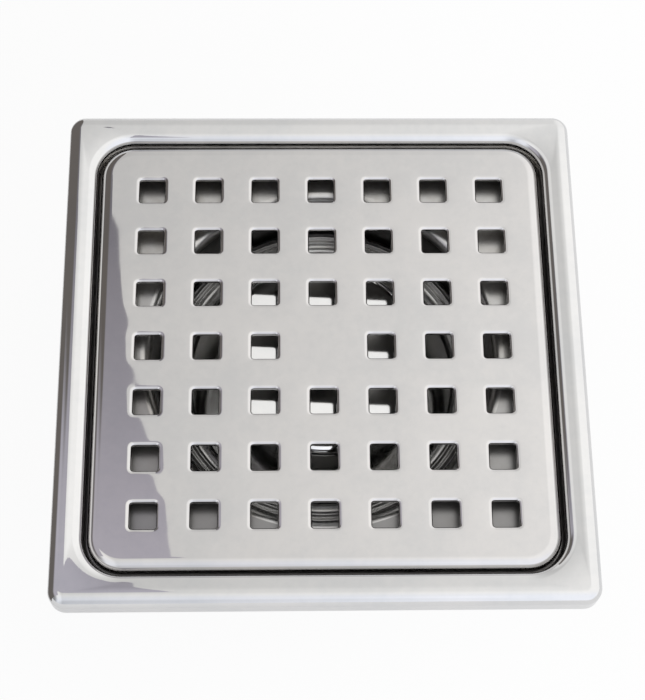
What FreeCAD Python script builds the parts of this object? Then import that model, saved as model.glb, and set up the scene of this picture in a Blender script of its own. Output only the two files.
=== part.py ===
import FreeCAD, Part
import math
import os

import Sketcher
from FreeCAD import Vector

# Square stainless floor drain with a water-seal trap, in millimetres.
# A perforated grating rests in the recess of a pressed frame. The frame's round bowl ends in a seat, with a
# spigot welded under it. A trap cup hangs on the seat by its rim. A standpipe goes through the cup's floor,
# and a bell stands over it.
# +Z is up. The origin is on the outlet's axis, at the spigot's lower end.

SIZES = {
    # pressed frame
    "frame_side": (127.0, "outer side of the square rim"),
    "frame_corner": (4.0, "plan radius of the rim's outer corners"),
    "frame_gauge": (1.0, "sheet thickness of the frame"),
    "rim_width": (7.4, "rim, from its outer edge to the recess wall"),
    "rim_edge_radius": (3.0, "bend along the rim's outer edge"),
    "rim_shoulder_radius": (3.0, "bend from the rim down into the recess"),
    "skirt_height": (7.0, "rim top to the skirt's lower edge"),
    "recess_depth": (6.0, "rim top to the recess floor"),
    "bend_radius": (0.8, "inside radius of the frame's other bends"),
    "bowl_depth": (16.3, "recess floor to the trap cup's seat"),
    "bowl_draft": (1.5, "how much wider the bowl is at its mouth"),
    "bowl_lip_radius": (2.5, "bend from the recess floor into the bowl"),
    "seat_width": (6.5, "flat ring that carries the trap cup"),
    # grating
    "recess_gap": (0.9, "clearance between grating and recess wall"),
    "grating_gauge": (1.0, "sheet thickness of the grating"),
    "grating_height": (5.3, "grating's top to the lower edge of its skirt"),
    "grating_corner": (8.3, "plan radius of the grating's corners"),
    "grating_edge_radius": (3.0, "bend along the grating's edge"),
    "hole_size": (6.5, "side of a square hole"),
    "hole_corner": (0.8, "corner radius of a hole"),
    "hole_roll": (0.6, "rounding that the punch leaves at a hole's top edge"),
    "hole_rings": (3, "rings of holes around the blank middle"),
    "plate_margin": (9.95, "outermost hole to the grating's edge"),
    # spigot
    "spigot_diameter": (70.0, "outside diameter of the spigot"),
    "spigot_gauge": (1.0, "wall of the spigot"),
    "spigot_reach": (7.0, "spigot's end below the standpipe's end"),
    "weld_leg": (1.2, "leg of the weld fillets"),
    # trap cup and its seal
    "cup_gauge": (0.8, "sheet thickness of cup and bell"),
    "cup_clearance": (0.5, "radial clearance of the cup in the spigot"),
    "cup_depth": (30.0, "cup's rim to its floor"),
    "cup_lip_radius": (3.0, "bend from the cup's rim to its wall"),
    "cup_foot_radius": (4.0, "bend from the cup's wall to its floor"),
    "cup_rim_clearance": (1.2, "cup's rim to the bowl's wall"),
    "seal_thickness": (1.5, "seal under the cup's rim"),
    "seal_inset": (0.3, "seal's edges inside the flat of the rim"),
    "boss_rise": (1.5, "raised middle of the cup's floor, which centres the bell"),
    "boss_clearance": (0.4, "radial clearance of the bell on that boss"),
    # standpipe
    "standpipe_gauge": (1.0, "wall of the standpipe"),
    "standpipe_tail": (4.0, "standpipe's end below the cup"),
    "weir_drop": (8.0, "cup's rim down to the standpipe's top"),
    "riser_gap": (5.7, "standpipe to the bell's inside"),
    # bell
    "trap_gap": (7.2, "bell's outside to the cup's wall"),
    "bell_gap": (4.3, "grating's underside to the bell's top"),
    "bell_shoulder_radius": (2.5, "bend around the bell's top"),
    "notch_width": (12.0, "width of a water notch in the bell's foot"),
    "notch_height": (8.0, "height of a water notch"),
    "notch_count": (4, "water notches around the bell"),
}

# Sizes and heights that follow from the driving ones, as expressions.
GRATING_SIDE = "(Sizes.frame_side - 2 * Sizes.rim_width - 2 * Sizes.recess_gap)"
RECESS_SIDE = "(Sizes.frame_side - 2 * Sizes.rim_width)"
RECESS_CORNER = "(Sizes.grating_corner + Sizes.recess_gap)"
HOLE_PITCH = f"(({GRATING_SIDE} - 2 * Sizes.plate_margin - Sizes.hole_size) / (2 * Sizes.hole_rings))"

SPIGOT_RADIUS = "(Sizes.spigot_diameter / 2)"
SPIGOT_BORE = f"({SPIGOT_RADIUS} - Sizes.spigot_gauge)"
BOWL_BASE = f"({SPIGOT_BORE} + Sizes.seat_width)"
BOWL_MOUTH = f"({BOWL_BASE} + Sizes.bowl_draft)"
CUP_OUTSIDE = f"({SPIGOT_BORE} - Sizes.cup_clearance)"
CUP_INSIDE = f"({CUP_OUTSIDE} - Sizes.cup_gauge)"
CUP_RIM = f"({BOWL_BASE} - Sizes.cup_rim_clearance)"
SEAL_INSIDE = f"({CUP_INSIDE} + Sizes.cup_lip_radius + Sizes.seal_inset)"
SEAL_OUTSIDE = f"({CUP_RIM} - Sizes.seal_inset)"
BELL_OUTSIDE = f"({CUP_INSIDE} - Sizes.trap_gap)"
BELL_INSIDE = f"({BELL_OUTSIDE} - Sizes.cup_gauge)"
BOSS_RADIUS = f"({BELL_INSIDE} - Sizes.boss_clearance)"
STANDPIPE_OUTSIDE = f"({BELL_INSIDE} - Sizes.riser_gap)"
STANDPIPE_BORE = f"({STANDPIPE_OUTSIDE} - Sizes.standpipe_gauge)"

STANDPIPE_END_Z = "Sizes.spigot_reach"
CUP_UNDERSIDE_Z = f"({STANDPIPE_END_Z} + Sizes.standpipe_tail)"
CUP_FLOOR_Z = f"({CUP_UNDERSIDE_Z} + Sizes.cup_gauge)"
BOSS_TOP_Z = f"({CUP_FLOOR_Z} + Sizes.boss_rise)"
CUP_RIM_Z = f"({CUP_FLOOR_Z} + Sizes.cup_depth)"
WEIR_Z = f"({CUP_RIM_Z} - Sizes.weir_drop)"
SEAT_Z = f"({CUP_RIM_Z} - Sizes.cup_gauge - Sizes.seal_thickness)"
SEAT_UNDERSIDE_Z = f"({SEAT_Z} - Sizes.frame_gauge)"
FLOOR_Z = f"({SEAT_Z} + Sizes.bowl_depth)"
FLOOR_UNDERSIDE_Z = f"({FLOOR_Z} - Sizes.frame_gauge)"
RIM_Z = f"({FLOOR_Z} + Sizes.recess_depth)"
RIM_UNDERSIDE_Z = f"({RIM_Z} - Sizes.frame_gauge)"
GRATING_Z = f"({FLOOR_Z} + Sizes.grating_height)"
GRATING_UNDERSIDE_Z = f"({GRATING_Z} - Sizes.grating_gauge)"
BELL_Z = f"({GRATING_UNDERSIDE_Z} - Sizes.bell_gap)"

TOUCH = 1e-4

doc = FreeCAD.newDocument("floor_drain")
sheet = doc.addObject("Spreadsheet::Sheet", "Sizes")
for row, (alias, (number, meaning)) in enumerate(SIZES.items(), start=1):
    sheet.set(f"A{row}", meaning)
    sheet.set(f"B{row}", str(number))
    sheet.setAlias(f"B{row}", alias)
doc.recompute()


def value(expression):
    """The number that an expression on the sheet gives."""
    return float(sheet.evalExpression(expression))


def new_body(label):
    body = doc.addObject("PartDesign::Body", label)
    body.Label = label
    body.Placement = FreeCAD.Placement()
    return body


def new_sketch(body, name, role, height=None):
    """A sketch on one of the body's origin planes, lifted to a height if one is given."""
    sketch = body.newObject("Sketcher::SketchObject", name)
    plane = next(feature for feature in body.Origin.OriginFeatures if feature.Role == role)
    sketch.AttachmentSupport = [(plane, "")]
    sketch.MapMode = "FlatFace"
    if height:
        sketch.setExpression("AttachmentOffset.Base.z", height)
    return sketch


def bind(sketch, kind, *places, to):
    """Adds a measured constraint whose value follows an expression."""
    index = sketch.addConstraint(Sketcher.Constraint(kind, *places, value(to)))
    sketch.setExpression(f"Constraints[{index}]", to)


def polygon(sketch, corners):
    """A closed outline whose corners are pairs of expressions, across and up from the sketch's origin."""
    points = [Vector(value(across), value(up), 0) for across, up in corners]
    count = len(points)
    for i, point in enumerate(points):
        sketch.addGeometry(Part.LineSegment(point, points[(i + 1) % count]))
    for i, (across, up) in enumerate(corners):
        sketch.addConstraint(Sketcher.Constraint("Coincident", i, 2, (i + 1) % count, 1))
        for kind, axis, place in (("DistanceX", -2, across), ("DistanceY", -1, up)):
            if place == "0":
                sketch.addConstraint(Sketcher.Constraint("PointOnObject", i, 1, axis))
            else:
                bind(sketch, kind, -1, 1, i, 1, to=place)


def rounded_square(sketch, side, corner, across="0", up="0"):
    """A rounded square about (across, up): four lines and four quarter arcs, tangent all round."""
    half = value(side) / 2
    radius = value(corner)
    flat = half - radius
    middle = Vector(value(across), value(up), 0)
    first = sketch.GeometryCount
    outward = [(1, 0), (0, 1), (-1, 0), (0, -1)]
    for x, y in outward:
        start = middle + Vector(x * half + y * flat, y * half - x * flat, 0)
        end = middle + Vector(x * half - y * flat, y * half + x * flat, 0)
        sketch.addGeometry(Part.LineSegment(start, end))
    for quarter, (x, y) in enumerate(outward):
        hub = middle + Vector((x - y) * flat, (x + y) * flat, 0)
        start_angle = quarter * math.pi / 2
        corner_circle = Part.Circle(hub, Vector(0, 0, 1), radius)
        sketch.addGeometry(Part.ArcOfCircle(corner_circle, start_angle, start_angle + math.pi / 2))
    right, top, left, bottom = range(first, first + 4)
    arcs = range(first + 4, first + 8)
    for line, arc, after in zip((right, top, left, bottom), arcs, (top, left, bottom, right)):
        sketch.addConstraint(Sketcher.Constraint("Tangent", line, 2, arc, 1))
        sketch.addConstraint(Sketcher.Constraint("Tangent", arc, 2, after, 1))
    for arc in arcs[1:]:
        sketch.addConstraint(Sketcher.Constraint("Equal", arcs[0], arc))
    sketch.addConstraint(Sketcher.Constraint("Vertical", right))
    sketch.addConstraint(Sketcher.Constraint("Horizontal", top))
    bind(sketch, "Radius", arcs[0], to=corner)
    bind(sketch, "DistanceX", left, 1, right, 1, to=side)
    bind(sketch, "DistanceY", bottom, 1, top, 1, to=side)
    bind(sketch, "DistanceX", -1, 1, right, 1, to=f"{across} + {side} / 2")
    bind(sketch, "DistanceY", -1, 1, top, 1, to=f"{up} + {side} / 2")


def circle(sketch, radius):
    index = sketch.addGeometry(Part.Circle(Vector(), Vector(0, 0, 1), value(radius)))
    sketch.addConstraint(Sketcher.Constraint("Coincident", index, 3, -1, 1))
    bind(sketch, "Radius", index, to=radius)


def extrude(body, kind, name, sketch, length, reverse=False):
    """Pads or pockets a sketch."""
    feature = body.newObject(f"PartDesign::{kind}", name)
    feature.Profile = sketch
    feature.Reversed = reverse
    feature.setExpression("Length", length)
    doc.recompute()
    return feature


def turn(body, kind, name, corners):
    """Revolves an outline of (radius, height) corners about the outlet's axis, to add or to cut."""
    sketch = new_sketch(body, f"{name}_outline", "XZ_Plane")
    polygon(sketch, corners)
    feature = body.newObject(f"PartDesign::{kind}", name)
    feature.Profile = sketch
    feature.ReferenceAxis = (sketch, ["V_Axis"])
    feature.Angle = 360
    doc.recompute()
    return feature


def reach(edge):
    """How far an edge's middle is from the axis, along X or Y, whichever is more."""
    point = edge.valueAt((edge.FirstParameter + edge.LastParameter) / 2)
    return max(abs(point.x), abs(point.y))


def is_flat_at(edge, height):
    return abs(edge.BoundBox.ZMin - height) < TOUCH and abs(edge.BoundBox.ZMax - height) < TOUCH


def rings_at(height, radius):
    """Picks the circular edges about the axis with this height and radius."""
    edge_height = value(height)
    edge_radius = value(radius)

    def pick(edge):
        if not is_flat_at(edge, edge_height) or not isinstance(edge.Curve, Part.Circle):
            return False
        return abs(edge.Curve.Radius - edge_radius) < TOUCH
    return pick


def loop_at(height, side, corner):
    """Picks the edges of a rounded square with this height, side and corner radius."""
    edge_height = value(height)
    side_reach = value(side) / 2
    corner_reach = side_reach - value(corner) * (1 - math.sqrt(0.5))

    def pick(edge):
        if not is_flat_at(edge, edge_height):
            return False
        return min(abs(reach(edge) - side_reach), abs(reach(edge) - corner_reach)) < TOUCH
    return pick


def edges_at(height, longest):
    """Picks the edges at this height that are shorter than a length."""
    edge_height = value(height)
    edge_length = value(longest)

    def pick(edge):
        return is_flat_at(edge, edge_height) and edge.Length < edge_length
    return pick


def fillet(body, name, radius, *picks):
    """Rounds every edge that one of the picks takes."""
    base = body.Tip
    names = []
    for number, edge in enumerate(base.Shape.Edges, start=1):
        if any(pick(edge) for pick in picks):
            names.append(f"Edge{number}")
    feature = body.newObject("PartDesign::Fillet", name)
    feature.Base = (base, names)
    feature.setExpression("Radius", radius)
    doc.recompute()
    return feature


def make_frame():
    """One pressed sheet: rim and skirt, square recess, round bowl and the seat at its foot."""
    body = new_body("frame")
    skirt_inside = "(Sizes.frame_side - 2 * Sizes.frame_gauge)"
    skirt_inner_corner = "(Sizes.frame_corner - Sizes.frame_gauge)"
    tray_side = f"({RECESS_SIDE} + 2 * Sizes.frame_gauge)"
    tray_corner = f"({RECESS_CORNER} + Sizes.frame_gauge)"

    plate = new_sketch(body, "rim_outline", "XY_Plane", RIM_Z)
    rounded_square(plate, "Sizes.frame_side", "Sizes.frame_corner")
    extrude(body, "Pad", "rim_plate", plate, "Sizes.frame_gauge", reverse=True)

    skirt = new_sketch(body, "skirt_outline", "XY_Plane", RIM_Z)
    rounded_square(skirt, "Sizes.frame_side", "Sizes.frame_corner")
    rounded_square(skirt, skirt_inside, skirt_inner_corner)
    extrude(body, "Pad", "skirt", skirt, "Sizes.skirt_height", reverse=True)

    tray = new_sketch(body, "tray_outline", "XY_Plane", RIM_Z)
    rounded_square(tray, tray_side, tray_corner)
    extrude(body, "Pad", "tray", tray, "Sizes.recess_depth + Sizes.frame_gauge", reverse=True)

    bowl_outer_base = f"{BOWL_BASE} + Sizes.frame_gauge"
    bowl_outer_mouth = f"{BOWL_MOUTH} + Sizes.frame_gauge"
    turn(body, "Revolution", "bowl_outside", [
        ("0", SEAT_UNDERSIDE_Z),
        (bowl_outer_base, SEAT_UNDERSIDE_Z),
        (bowl_outer_mouth, FLOOR_UNDERSIDE_Z),
        ("0", FLOOR_UNDERSIDE_Z),
    ])

    recess = new_sketch(body, "recess_outline", "XY_Plane", RIM_Z)
    rounded_square(recess, RECESS_SIDE, RECESS_CORNER)
    extrude(body, "Pocket", "recess", recess, "Sizes.recess_depth")

    turn(body, "Groove", "bowl", [
        ("0", SEAT_Z),
        (BOWL_BASE, SEAT_Z),
        (BOWL_MOUTH, FLOOR_Z),
        ("0", FLOOR_Z),
    ])

    outlet = new_sketch(body, "outlet_outline", "XY_Plane", SEAT_Z)
    circle(outlet, SPIGOT_BORE)
    extrude(body, "Pocket", "outlet", outlet, "Sizes.frame_gauge")

    rim_loop = loop_at(RIM_Z, "Sizes.frame_side", "Sizes.frame_corner")
    under_rim_loop = loop_at(RIM_UNDERSIDE_Z, skirt_inside, skirt_inner_corner)
    shoulder_loop = loop_at(RIM_Z, RECESS_SIDE, RECESS_CORNER)
    under_shoulder_loop = loop_at(RIM_UNDERSIDE_Z, tray_side, tray_corner)
    floor_loop = loop_at(FLOOR_Z, RECESS_SIDE, RECESS_CORNER)
    under_floor_loop = loop_at(FLOOR_UNDERSIDE_Z, tray_side, tray_corner)
    fillet(body, "rim_edge", "Sizes.rim_edge_radius", rim_loop)
    fillet(body, "rim_edge_inside", "Sizes.rim_edge_radius - Sizes.frame_gauge", under_rim_loop)
    fillet(body, "shoulder", "Sizes.rim_shoulder_radius", shoulder_loop)
    fillet(body, "shoulder_inside", "Sizes.rim_shoulder_radius - Sizes.frame_gauge", under_shoulder_loop)
    fillet(body, "bowl_lip", "Sizes.bowl_lip_radius", rings_at(FLOOR_Z, BOWL_MOUTH))
    fillet(body, "bowl_lip_inside", "Sizes.bowl_lip_radius - Sizes.frame_gauge",
           rings_at(FLOOR_UNDERSIDE_Z, bowl_outer_mouth))
    fillet(body, "bends_inside", "Sizes.bend_radius", floor_loop, rings_at(SEAT_Z, BOWL_BASE))
    fillet(body, "bends_outside", "Sizes.bend_radius + Sizes.frame_gauge",
           under_floor_loop, rings_at(SEAT_UNDERSIDE_Z, bowl_outer_base))
    return body


def make_grating():
    """One pressed sheet: a square cover with a skirt and a grid of square holes, blank in the middle."""
    body = new_body("grating")
    inner_side = f"({GRATING_SIDE} - 2 * Sizes.grating_gauge)"
    inner_corner = "(Sizes.grating_corner - Sizes.grating_gauge)"

    outside = new_sketch(body, "cover_outline", "XY_Plane", GRATING_Z)
    rounded_square(outside, GRATING_SIDE, "Sizes.grating_corner")
    extrude(body, "Pad", "cover", outside, "Sizes.grating_height", reverse=True)
    fillet(body, "cover_edge", "Sizes.grating_edge_radius",
           loop_at(GRATING_Z, GRATING_SIDE, "Sizes.grating_corner"))

    inside = new_sketch(body, "cover_inside_outline", "XY_Plane", GRATING_UNDERSIDE_Z)
    rounded_square(inside, inner_side, inner_corner)
    extrude(body, "Pocket", "cover_inside", inside, "Sizes.grating_height - Sizes.grating_gauge")
    fillet(body, "cover_edge_inside", "Sizes.grating_edge_radius - Sizes.grating_gauge",
           loop_at(GRATING_UNDERSIDE_Z, inner_side, inner_corner))

    hole = new_sketch(body, "hole_outline", "XY_Plane", GRATING_Z)
    rounded_square(hole, "Sizes.hole_size", "Sizes.hole_corner", across=HOLE_PITCH)
    punched = extrude(body, "Pocket", "hole", hole, "Sizes.grating_gauge")

    # A quarter of the grid is three columns of four; four turns of it leave the middle blank.
    columns = body.newObject("PartDesign::LinearPattern", "columns")
    columns.Direction = (hole, ["H_Axis"])
    columns.setExpression("Length", f"{HOLE_PITCH} * (Sizes.hole_rings - 1)")
    columns.setExpression("Occurrences", "Sizes.hole_rings")
    rows = body.newObject("PartDesign::LinearPattern", "rows")
    rows.Direction = (hole, ["V_Axis"])
    rows.setExpression("Length", f"{HOLE_PITCH} * Sizes.hole_rings")
    rows.setExpression("Occurrences", "Sizes.hole_rings + 1")
    quarters = body.newObject("PartDesign::PolarPattern", "quarters")
    quarters.Axis = (hole, ["N_Axis"])
    quarters.Angle = 360
    quarters.Occurrences = 4
    grid = body.newObject("PartDesign::MultiTransform", "hole_grid")
    grid.Originals = [punched]
    grid.Transformations = [columns, rows, quarters]
    body.Tip = grid
    doc.recompute()
    fillet(body, "hole_edges", "Sizes.hole_roll", edges_at(GRATING_Z, "Sizes.hole_size"))
    return body


def make_trap_cup():
    """One drawn cup: a rim that hangs on the seal, and a floor with a boss around the standpipe."""
    body = new_body("trap_cup")
    boss_underside_z = f"{BOSS_TOP_Z} - Sizes.cup_gauge"
    rim_underside_z = f"{CUP_RIM_Z} - Sizes.cup_gauge"
    boss_inside = f"{BOSS_RADIUS} - Sizes.cup_gauge"
    turn(body, "Revolution", "cup", [
        (STANDPIPE_OUTSIDE, boss_underside_z),
        (boss_inside, boss_underside_z),
        (boss_inside, CUP_UNDERSIDE_Z),
        (CUP_OUTSIDE, CUP_UNDERSIDE_Z),
        (CUP_OUTSIDE, rim_underside_z),
        (CUP_RIM, rim_underside_z),
        (CUP_RIM, CUP_RIM_Z),
        (CUP_INSIDE, CUP_RIM_Z),
        (CUP_INSIDE, CUP_FLOOR_Z),
        (BOSS_RADIUS, CUP_FLOOR_Z),
        (BOSS_RADIUS, BOSS_TOP_Z),
        (STANDPIPE_OUTSIDE, BOSS_TOP_Z),
    ])
    fillet(body, "lip", "Sizes.cup_lip_radius", rings_at(CUP_RIM_Z, CUP_INSIDE))
    fillet(body, "lip_inside", "Sizes.cup_lip_radius - Sizes.cup_gauge",
           rings_at(rim_underside_z, CUP_OUTSIDE))
    fillet(body, "foot", "Sizes.cup_foot_radius", rings_at(CUP_UNDERSIDE_Z, CUP_OUTSIDE))
    fillet(body, "foot_inside", "Sizes.cup_foot_radius - Sizes.cup_gauge",
           rings_at(CUP_FLOOR_Z, CUP_INSIDE))
    fillet(body, "boss_edge", "Sizes.cup_gauge", rings_at(BOSS_TOP_Z, BOSS_RADIUS))
    return body


def make_standpipe():
    """A tube through the cup's boss, with its weld fillet on the boss and its top edge as the weir."""
    body = new_body("standpipe")
    turn(body, "Revolution", "pipe", [
        (STANDPIPE_BORE, STANDPIPE_END_Z),
        (STANDPIPE_OUTSIDE, STANDPIPE_END_Z),
        (STANDPIPE_OUTSIDE, BOSS_TOP_Z),
        (f"{STANDPIPE_OUTSIDE} + Sizes.weld_leg", BOSS_TOP_Z),
        (STANDPIPE_OUTSIDE, f"{BOSS_TOP_Z} + Sizes.weld_leg"),
        (STANDPIPE_OUTSIDE, WEIR_Z),
        (STANDPIPE_BORE, WEIR_Z),
    ])
    return body


def make_bell():
    """One drawn inverted cup that stands on the trap cup's floor, with notches in its foot for the water."""
    body = new_body("bell")
    bell_underside_z = f"{BELL_Z} - Sizes.cup_gauge"
    turn(body, "Revolution", "shell", [
        ("0", bell_underside_z),
        (BELL_INSIDE, bell_underside_z),
        (BELL_INSIDE, CUP_FLOOR_Z),
        (BELL_OUTSIDE, CUP_FLOOR_Z),
        (BELL_OUTSIDE, BELL_Z),
        ("0", BELL_Z),
    ])
    fillet(body, "shoulder", "Sizes.bell_shoulder_radius", rings_at(BELL_Z, BELL_OUTSIDE))
    fillet(body, "shoulder_inside", "Sizes.bell_shoulder_radius - Sizes.cup_gauge",
           rings_at(bell_underside_z, BELL_INSIDE))

    notch = new_sketch(body, "notch_outline", "XZ_Plane")
    notch_top_z = f"{CUP_FLOOR_Z} + Sizes.notch_height"
    polygon(notch, [
        ("-Sizes.notch_width / 2", CUP_FLOOR_Z),
        ("Sizes.notch_width / 2", CUP_FLOOR_Z),
        ("Sizes.notch_width / 2", notch_top_z),
        ("-Sizes.notch_width / 2", notch_top_z),
    ])
    cut = extrude(body, "Pocket", "notch", notch, BELL_OUTSIDE, reverse=True)
    notches = body.newObject("PartDesign::PolarPattern", "notches")
    notches.Originals = [cut]
    notches.Axis = (notch, ["V_Axis"])
    notches.Angle = 360
    notches.setExpression("Occurrences", "Sizes.notch_count")
    body.Tip = notches
    doc.recompute()
    return body


def make_cup_seal():
    """A flat ring between the cup's rim and the seat."""
    body = new_body("cup_seal")
    outline = new_sketch(body, "seal_outline", "XY_Plane", SEAT_Z)
    circle(outline, SEAL_INSIDE)
    circle(outline, SEAL_OUTSIDE)
    extrude(body, "Pad", "ring", outline, "Sizes.seal_thickness")
    return body


def make_spigot():
    """A tube under the seat, with its weld fillet against the seat's underside."""
    body = new_body("spigot")
    turn(body, "Revolution", "pipe", [
        (SPIGOT_BORE, "0"),
        (SPIGOT_RADIUS, "0"),
        (SPIGOT_RADIUS, f"{SEAT_UNDERSIDE_Z} - Sizes.weld_leg"),
        (f"{SPIGOT_RADIUS} + Sizes.weld_leg", SEAT_UNDERSIDE_Z),
        (SPIGOT_BORE, SEAT_UNDERSIDE_Z),
    ])
    return body


bodies = [
    make_frame(),
    make_grating(),
    make_trap_cup(),
    make_standpipe(),
    make_bell(),
    make_cup_seal(),
    make_spigot(),
]
doc.recompute()

for item in doc.Objects:
    if "Invalid" in item.State or "Error" in item.State:
        raise RuntimeError(f"{item.Label}: {item.getStatusString()}")
os.makedirs("parts", exist_ok=True)
for body in bodies:
    if body.Shape.isNull() or not body.Shape.isValid():
        raise RuntimeError(f"{body.Label} has no valid shape")
    body.Shape.exportStep(f"parts/{body.Label}.step")
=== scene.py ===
import math

import bpy
import numpy as np
from mathutils import Matrix, Vector


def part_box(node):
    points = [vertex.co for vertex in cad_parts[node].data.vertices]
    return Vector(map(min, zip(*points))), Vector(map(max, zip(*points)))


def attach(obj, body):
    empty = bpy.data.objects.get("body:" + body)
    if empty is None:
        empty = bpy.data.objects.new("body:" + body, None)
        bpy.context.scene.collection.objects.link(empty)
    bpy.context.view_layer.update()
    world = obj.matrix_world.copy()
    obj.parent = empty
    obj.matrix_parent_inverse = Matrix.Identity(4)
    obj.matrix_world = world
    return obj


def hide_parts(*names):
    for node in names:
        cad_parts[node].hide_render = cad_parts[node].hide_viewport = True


# Looks of a square stainless floor drain: a polished perforated grating in a pressed frame, over a
# round bowl with a bell trap. Lengths are in metres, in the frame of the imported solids.

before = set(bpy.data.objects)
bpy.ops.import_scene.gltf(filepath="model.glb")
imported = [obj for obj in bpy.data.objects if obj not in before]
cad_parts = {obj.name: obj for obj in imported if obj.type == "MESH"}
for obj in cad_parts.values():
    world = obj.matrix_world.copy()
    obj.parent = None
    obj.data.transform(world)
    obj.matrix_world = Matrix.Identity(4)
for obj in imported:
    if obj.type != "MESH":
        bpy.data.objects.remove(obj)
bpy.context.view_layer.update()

MM = 0.001
BODY = "root"

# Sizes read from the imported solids
frame_low, frame_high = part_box("frame")
grating_low, grating_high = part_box("grating")
cup_low, cup_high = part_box("trap_cup")
bell_low, bell_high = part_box("bell")
seal_low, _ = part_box("cup_seal")
spigot_low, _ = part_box("spigot")

RIM_HALF = frame_high.x
RIM_Z = frame_high.z
SEAT_UNDERSIDE_Z = frame_low.z
GRATING_HALF = grating_high.x
GRATING_Z = grating_high.z
FLOOR_Z = grating_low.z
CUP_RIM = cup_high.x
CUP_RIM_Z = cup_high.z
CUP_UNDERSIDE_Z = cup_low.z
BELL_OUTSIDE = bell_high.x
BELL_Z = bell_high.z
BELL_FOOT_Z = bell_low.z
SEAT_Z = seal_low.z
SPIGOT_END_Z = spigot_low.z

# Levels of the steel's dullness attribute: polished steel, steel left as it was rolled, and rolled steel
# darkened fully to the painted shade grey
POLISHED = 0.0
ROLLED = 1.0
FULL_SHADE = 2.0

# Frame sheet
FRAME_GAUGE = 1.0 * MM
FRAME_CORNER = 4.0 * MM
RIM_WIDTH = 7.4 * MM
RIM_EDGE_RADIUS = 3.0 * MM
RIM_CREST = 3.6 * MM
RIM_CREST_RADIUS = 5.2 * MM
RIM_FALL = 0.8 * MM
SHOULDER_RADIUS = 2.4 * MM
SKIRT_HEIGHT = 7.0 * MM
RECESS_GAP = 0.9 * MM
BEND_RADIUS = 0.8 * MM
BOWL_LIP_RADIUS = 2.5 * MM
BOWL_DRAFT = 1.5 * MM
SEAT_WIDTH = 6.5 * MM
EDGE_BREAK = 0.2 * MM
LEDGE_ROUND = 46.0 * MM
LEDGE_SQUARE = 54.5 * MM
# Painted shade in the gap round the grating covers the ledge this far inside the grating's edge
GAP_SHADE_REACH = 1.5 * MM
# Painted shade on the ledge: its level at two places in y, darker towards the front, plain rolled steel at
# the back
LEDGE_SHADE = ((-48.0 * MM, 20.0 * MM), (1.9, 1.0))
WALL_DULLNESS = 0.8
# Painted shade in the gap round the grating: rolled steel taken most of the way to the shade grey
GAP_DULL_AND_SHADE = 1.7
# Painted shade on the bowl's wall under the grating: the full shade grey
BOWL_PAINTED_SHADE = FULL_SHADE
# Over this span of y the gap's painted shade and the recess wall's dullness fade out towards the back
SHADE_AND_DULL_BACK_FADE = (50.0 * MM, 55.0 * MM)

# Grating sheet
GRATING_GAUGE = 1.0 * MM
GRATING_CORNER = 8.3 * MM
GRATING_EDGE_RADIUS = 3.0 * MM
HOLE_SIZE = 6.2 * MM
HOLE_CORNER = 0.55 * MM
HOLE_ROLL = 0.9 * MM
HOLE_RINGS = 3
PLATE_MARGIN = 9.95 * MM
HOLE_PITCH = (2 * GRATING_HALF - 2 * PLATE_MARGIN - HOLE_SIZE) / (2 * HOLE_RINGS)
DISH_DEPTH = 0.025 * MM
DISH_REACH = 0.9 * MM
CROWN_DROP = 0.2 * MM
# Painted shade on the grating's underside: rolled steel taken part of the way to the shade grey
UNDERSIDE_DULL_AND_SHADE = 1.6
# Painted shade on the outside of the grating's turned edge, in the gap: the full shade grey
SIDE_DULL_AND_SHADE = 2.5
# Over this span of y the grating's painted shade and dullness fall to 0.4 of their level towards the back
GRATING_SHADE_AND_DULL_BACK_FADE = ((20.0 * MM, 45.0 * MM), (1.0, 0.4))

# Trap pieces
CUP_GAUGE = 0.8 * MM
SPIGOT_RADIUS = 35.0 * MM
SPIGOT_GAUGE = 1.0 * MM
SPIGOT_BORE = SPIGOT_RADIUS - SPIGOT_GAUGE
CUP_CLEARANCE = 0.5 * MM
CUP_OUTSIDE = SPIGOT_BORE - CUP_CLEARANCE
CUP_INSIDE = CUP_OUTSIDE - CUP_GAUGE
CUP_LIP_RADIUS = 3.0 * MM
CUP_FOOT_RADIUS = 4.0 * MM
CUP_BOSS_RISE = 1.5 * MM
CUP_BEAD_INSET = 0.4 * MM
CUP_BEAD_HEIGHT = 0.6 * MM
CUP_BEAD_PITCH = 1.5 * MM
CUP_BEAD_RADIUS = 0.4 * MM
CUP_BEADS = 2
CUP_DULLNESS = 0.7
BELL_INSIDE = BELL_OUTSIDE - CUP_GAUGE
BOSS_CLEARANCE = 0.4 * MM
BOSS_RADIUS = BELL_INSIDE - BOSS_CLEARANCE
STANDPIPE_OUTSIDE = 19.0 * MM
BELL_SHOULDER_RADIUS = 2.5 * MM
BELL_APEX = 0.4 * MM
BELL_LEAN = 0.06
BELL_CROWN_SINK = 0.3 * MM
BELL_LEAN_DEPTH = 9.0 * MM
NOTCH_WIDTH = 12.0 * MM
NOTCH_HEIGHT = 8.0 * MM
NOTCH_COUNT = 4
NOTCH_EDGE = 0.05 * MM
WELD_LEG = 1.2 * MM
WELD_TOE_RADIUS = WELD_LEG / 4
WELD_RIPPLES = 96
WELD_RIPPLE_DEPTH = 0.12 * MM

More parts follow.
